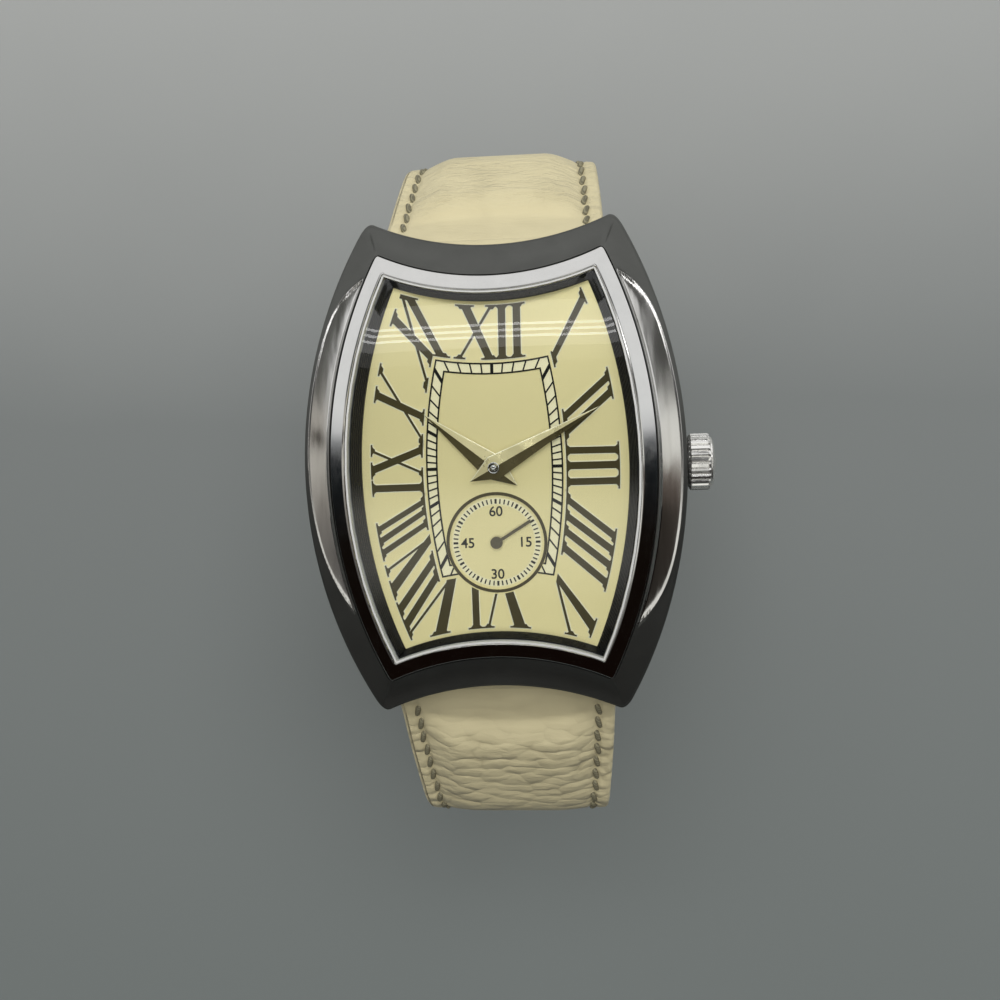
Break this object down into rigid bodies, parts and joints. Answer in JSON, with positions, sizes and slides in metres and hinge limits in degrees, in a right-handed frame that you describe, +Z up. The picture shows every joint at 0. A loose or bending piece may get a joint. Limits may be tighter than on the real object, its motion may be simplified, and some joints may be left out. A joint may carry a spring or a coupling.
{
  "type": "wristwatch",
  "caption": "Barrel-shaped wristwatch with hollowed case ends, domed crystal, Roman dial with small seconds, crown, and an open padded leather strap with pin buckle.",
  "frame": {"origin": "centre of the flat outer face of the case back", "axes": "+X towards 3 o'clock and the crown, +Y towards 12 o'clock, +Z up through the dial; the strap hangs below the case towards -Z"},
  "size_m": [0.0392, 0.0726, 0.0781],
  "materials": {
    "case_steel": "satin dark grey steel",
    "polished_steel": "mirror polished steel",
    "plain_steel": "plain turned steel",
    "sapphire": "clear polished",
    "white_nylon": "smooth",
    "seal_rubber": "smooth black",
    "dark_flange": "gloss dark grey",
    "dial_cream": "fine grained cream",
    "print_olive": "dark olive brown",
    "print_black": "black print",
    "plate_brass": "satin gilt brass",
    "wheel_brass": "polished brass",
    "bridge_nickel": "brushed nickel",
    "battery_steel": "smooth",
    "copper_wire": "enamelled copper winding",
    "stator_iron": "annealed grey",
    "board_green": "solder mask",
    "hand_gilt": "polished dark gilt",
    "leather_cream": "pebbled cream calf",
    "lining_tan": "smooth tan lining",
    "padding_felt": "felt filler",
    "thread_olive": "waxed thread"
  },
  "bodies": {
    "case": {"case_middle": "case_steel", "bezel": "polished_steel", "bezel_gasket": "seal_rubber", "crystal": "sapphire", "crystal_gasket": "white_nylon", "rehaut_ring": "dark_flange", "case_back": "plain_steel", "case_back_gasket": "seal_rubber", "case_back_screws": "plain_steel", "crown_tube": "plain_steel", "dial_plate": "dial_cream", "hour_numerals": "print_olive", "minute_track": "print_olive", "subdial_ring": "print_olive", "subdial_scale": "print_black", "movement_holder": "white_nylon", "main_plate": "plate_brass", "train_bridge": "bridge_nickel", "bridge_screws": "plain_steel", "battery": "battery_steel", "battery_clamp": "plain_steel", "coil": "copper_wire", "stator": "stator_iron", "circuit_board": "board_green", "quartz_can": "plain_steel", "spring_bar_12": "plain_steel", "spring_bar_6": "plain_steel"},
    "rotor": {"rotor": "plain_steel"},
    "intermediate": {"intermediate_wheel": "wheel_brass"},
    "seconds": {"seconds_wheel": "wheel_brass", "seconds_hand": "hand_gilt"},
    "third": {"third_wheel": "wheel_brass"},
    "minutes": {"centre_wheel": "wheel_brass", "cannon_pinion": "plain_steel", "minute_hand": "hand_gilt", "hand_cap": "polished_steel"},
    "minute_wheel_body": {"minute_wheel": "wheel_brass"},
    "hours": {"hour_wheel": "wheel_brass", "hour_hand": "hand_gilt"},
    "crown_seal": {"crown_gasket": "seal_rubber"},
    "crown_body": {"crown": "polished_steel", "stem": "plain_steel"},
    "lever_body": {"setting_lever": "plain_steel"},
    "strap_12": {"strap_12_top": "leather_cream", "strap_12_padding": "padding_felt", "strap_12_lining": "lining_tan", "strap_12_stitching": "thread_olive", "fixed_keeper": "leather_cream", "buckle_bar": "plain_steel"},
    "strap_6": {"strap_6_top": "leather_cream", "strap_6_padding": "padding_felt", "strap_6_lining": "lining_tan", "strap_6_stitching": "thread_olive"},
    "keeper_body": {"free_keeper": "leather_cream"},
    "buckle_body": {"buckle_frame": "polished_steel"},
    "tang_body": {"tang": "polished_steel"}
  },
  "joints": [
    {"name": "seconds_spin", "type": "hinge", "parent": "case", "child": "seconds", "pos_m": [0, -0.0072, 0.004], "axis": [0, 0, -1], "continuous": true},
    {"name": "intermediate_spin", "type": "hinge", "parent": "case", "child": "intermediate", "pos_m": [-0.0024, -0.0072, 0.004], "axis": [0, 0, -1], "continuous": true},
    {"name": "rotor_spin", "type": "hinge", "parent": "case", "child": "rotor", "pos_m": [-0.00429, -0.0072, 0.004], "axis": [0, 0, -1], "continuous": true},
    {"name": "third_spin", "type": "hinge", "parent": "case", "child": "third", "pos_m": [0.0018, -0.00392, 0.004], "axis": [0, 0, -1], "continuous": true},
    {"name": "minutes_spin", "type": "hinge", "parent": "case", "child": "minutes", "pos_m": [0, 0, 0.004], "axis": [0, 0, -1], "continuous": true},
    {"name": "minute_wheel_spin", "type": "hinge", "parent": "case", "child": "minute_wheel_body", "pos_m": [0.0012, 0.00208, 0.004], "axis": [0, 0, -1], "continuous": true},
    {"name": "hours_spin", "type": "hinge", "parent": "case", "child": "hours", "pos_m": [0, 0, 0.004], "axis": [0, 0, -1], "continuous": true},
    {"name": "crown_pull", "type": "slide", "parent": "case", "child": "crown_seal", "axis": [1, 0, 0], "range_m": [0, 0.001]},
    {"name": "crown_turn", "type": "hinge", "parent": "crown_seal", "child": "crown_body", "pos_m": [0.0197, 0, 0.0042], "axis": [1, 0, 0], "continuous": true},
    {"name": "lever_swing", "type": "hinge", "parent": "case", "child": "lever_body", "pos_m": [0.0097, -0.0024, 0.00425], "axis": [0, 0, -1], "range_deg": [0, 28]},
    {"name": "strap_12_swing", "type": "hinge", "parent": "case", "child": "strap_12", "pos_m": [0, 0.0209, 0.0015], "axis": [1, 0, 0], "range_deg": [-6, 25]},
    {"name": "strap_6_swing", "type": "hinge", "parent": "case", "child": "strap_6", "pos_m": [0, -0.0209, 0.0015], "axis": [-1, 0, 0], "range_deg": [-3, 25]},
    {"name": "keeper_slide", "type": "hinge", "parent": "strap_12", "child": "keeper_body", "pos_m": [0, 0.00789, -0.01382], "axis": [1, 0, 0], "range_deg": [-12, 12]},
    {"name": "buckle_swing", "type": "hinge", "parent": "strap_12", "child": "buckle_body", "pos_m": [0, 0.00329, -0.03796], "axis": [1, 0, 0], "range_deg": [-25, 25]},
    {"name": "tang_swing", "type": "hinge", "parent": "buckle_body", "child": "tang_body", "pos_m": [0, 0.00329, -0.03796], "axis": [1, 0, 0], "range_deg": [0, 75]}
  ],
  "couplings": [
    {"joint": "intermediate_spin", "follows": "seconds_spin", "ratio": -5},
    {"joint": "rotor_spin", "follows": "seconds_spin", "ratio": 30},
    {"joint": "third_spin", "follows": "seconds_spin", "ratio": -0.13333},
    {"joint": "minutes_spin", "follows": "seconds_spin", "ratio": 0.016667},
    {"joint": "minute_wheel_spin", "follows": "seconds_spin", "ratio": -0.0055556},
    {"joint": "hours_spin", "follows": "seconds_spin", "ratio": 0.0013889},
    {"joint": "lever_swing", "follows": "crown_pull", "rad_per_m": 482}
  ]
}
